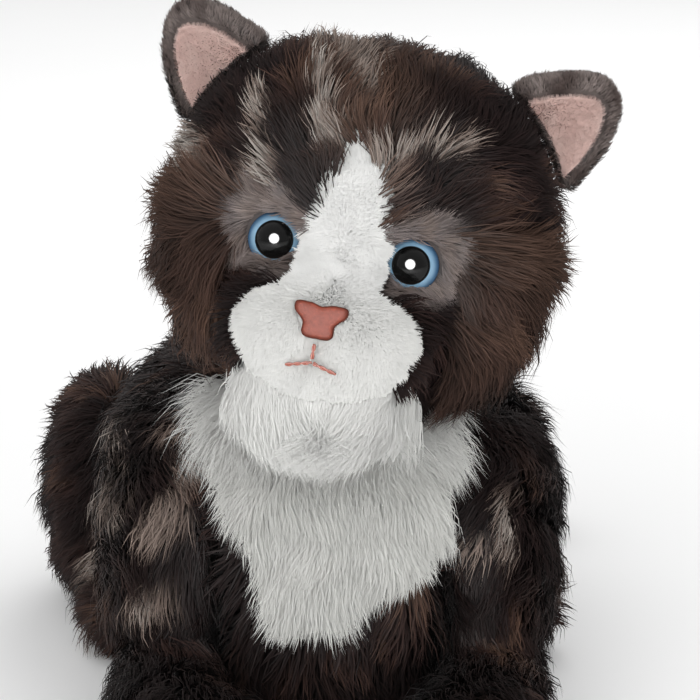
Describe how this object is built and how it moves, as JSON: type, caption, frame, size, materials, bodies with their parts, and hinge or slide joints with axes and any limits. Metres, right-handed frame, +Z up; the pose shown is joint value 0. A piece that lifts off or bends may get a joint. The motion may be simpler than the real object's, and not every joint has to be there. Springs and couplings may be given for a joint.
{
  "type": "plush cat",
  "caption": "Long-pile plush tabby cat lying down, head up and tipped, with white bib and blaze, blue eyes, sewn legs that flex and a tail that sways.",
  "frame": {"origin": "middle of the footprint's bounding box, on the surface the cat lies on", "axes": "+Z up, the cat faces -Y, its own left side is +X"},
  "size_m": [0.2148, 0.4264, 0.2647],
  "materials": {
    "tabby_fur": "long-pile plush, dark brown tabby",
    "grey_fur": "short-pile plush, grey-taupe",
    "white_fur": "white plush pile",
    "belly_fur": "short-pile plush, dark brown",
    "ear_velour": "pink velour",
    "stuffing": "polyester fibre fill",
    "iris": "glossy light blue",
    "pupil": "glossy black",
    "washer": "matt white",
    "nose": "terracotta, slight sheen",
    "thread": "terracotta embroidery thread"
  },
  "bodies": {
    "torso": {"torso_cover": "tabby_fur", "bib_panel": "white_fur", "belly_panel": "belly_fur", "torso_stuffing": "stuffing"},
    "head": {"muzzle_panel": "white_fur", "blaze_panel": "white_fur", "chin_panel": "white_fur", "eye_patch_left": "grey_fur", "eye_patch_right": "grey_fur", "cheek_left": "tabby_fur", "cheek_right": "tabby_fur", "head_cover": "tabby_fur", "head_stuffing": "stuffing", "nose": "nose", "mouth_middle_stitch": "thread", "mouth_left_stitch": "thread", "mouth_right_stitch": "thread", "eye_left_iris": "iris", "eye_left_pupil": "pupil", "eye_left_washer": "washer", "ear_left_outer": "grey_fur", "ear_left_lining": "ear_velour", "eye_right_iris": "iris", "eye_right_pupil": "pupil", "eye_right_washer": "washer", "ear_right_outer": "grey_fur", "ear_right_lining": "ear_velour"},
    "foreleg_left": {"foreleg_left_cover": "tabby_fur", "foreleg_left_stuffing": "stuffing"},
    "hind_leg_left": {"hind_leg_left_cover": "tabby_fur", "hind_leg_left_stuffing": "stuffing"},
    "foreleg_right": {"foreleg_right_cover": "tabby_fur", "foreleg_right_stuffing": "stuffing"},
    "hind_leg_right": {"hind_leg_right_cover": "tabby_fur", "hind_leg_right_stuffing": "stuffing"},
    "tail": {"tail_cover": "tabby_fur", "tail_stuffing": "stuffing"}
  },
  "joints": [
    {"name": "head_turn", "type": "hinge", "parent": "torso", "child": "head", "pos_m": [0.01356, -0.0903, 0.136], "axis": [0, -0.2419, 0.9703], "range_deg": [-30, 30]},
    {"name": "foreleg_left_lift", "type": "hinge", "parent": "torso", "child": "foreleg_left", "pos_m": [0.04726, -0.0783, 0.076], "axis": [-1, 0, 0], "range_deg": [0, 30]},
    {"name": "foreleg_right_lift", "type": "hinge", "parent": "torso", "child": "foreleg_right", "pos_m": [-0.02814, -0.0783, 0.076], "axis": [-1, 0, 0], "range_deg": [0, 30]},
    {"name": "hind_leg_left_splay", "type": "hinge", "parent": "torso", "child": "hind_leg_left", "pos_m": [0.03908, 0.1306, 0.04], "axis": [0, 0, 1], "range_deg": [0, 30]},
    {"name": "hind_leg_right_splay", "type": "hinge", "parent": "torso", "child": "hind_leg_right", "pos_m": [-0.08414, 0.13089, 0.04], "axis": [0, 0, -1], "range_deg": [0, 30]},
    {"name": "tail_sway", "type": "hinge", "parent": "torso", "child": "tail", "pos_m": [-0.04044, 0.1367, 0.034], "axis": [0, 0, 1], "range_deg": [-5, 60]}
  ]
}
